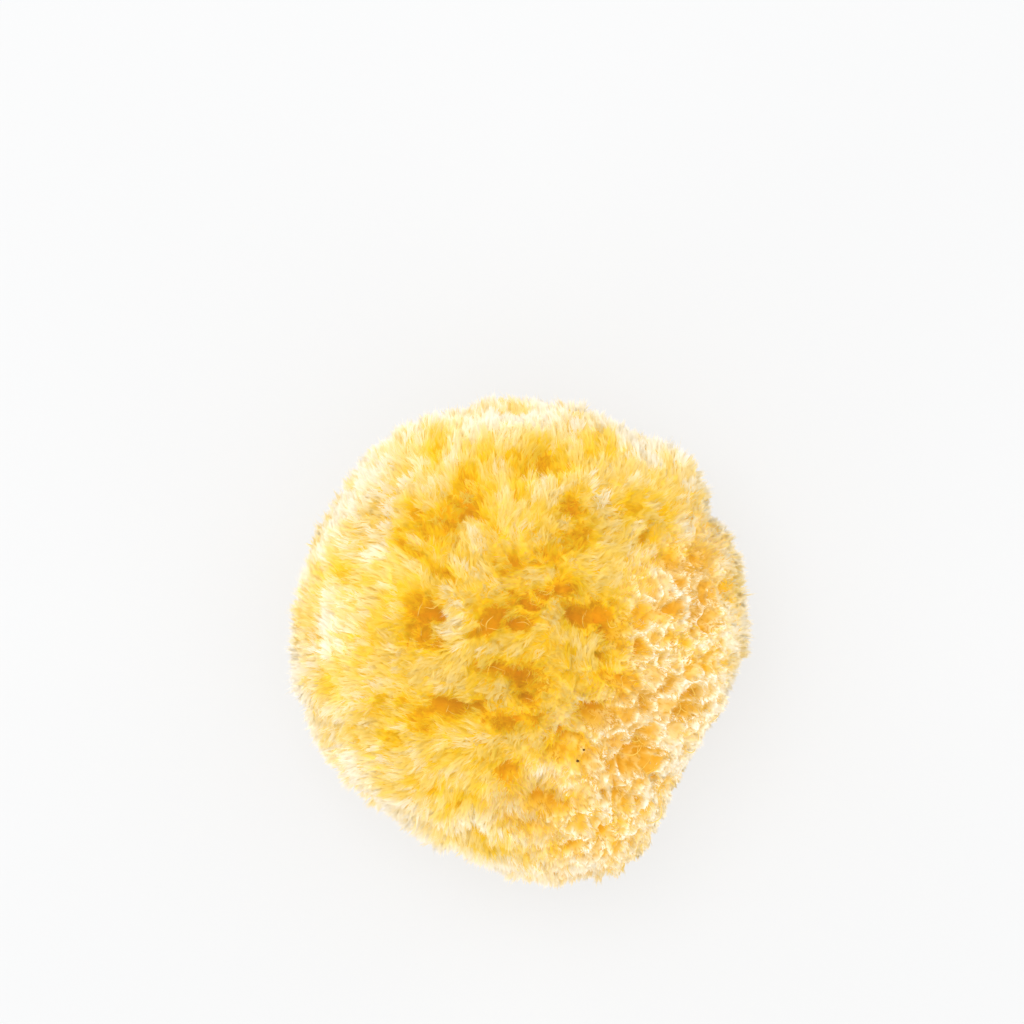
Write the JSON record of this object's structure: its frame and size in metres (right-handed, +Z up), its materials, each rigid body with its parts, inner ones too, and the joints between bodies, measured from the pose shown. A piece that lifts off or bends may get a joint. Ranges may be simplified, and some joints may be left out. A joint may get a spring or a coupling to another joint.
{
  "type": "sea sponge",
  "caption": "Natural bath sponge: a soft golden dome of tufted fibres with hollows and pores, trimmed flat underneath, for washing.",
  "frame": {"origin": "on the flat cut face, under the middle of the sponge's outline seen from above", "axes": "+Z up from the cut face to the crown, +Y along the longer side of the outline, away from its chin, +X across it"},
  "size_m": [0.097, 0.1036, 0.0726],
  "materials": {
    "bleached_fibre": "matte"
  },
  "bodies": {
    "root": {"sponge": "bleached_fibre"}
  },
  "joints": []
}
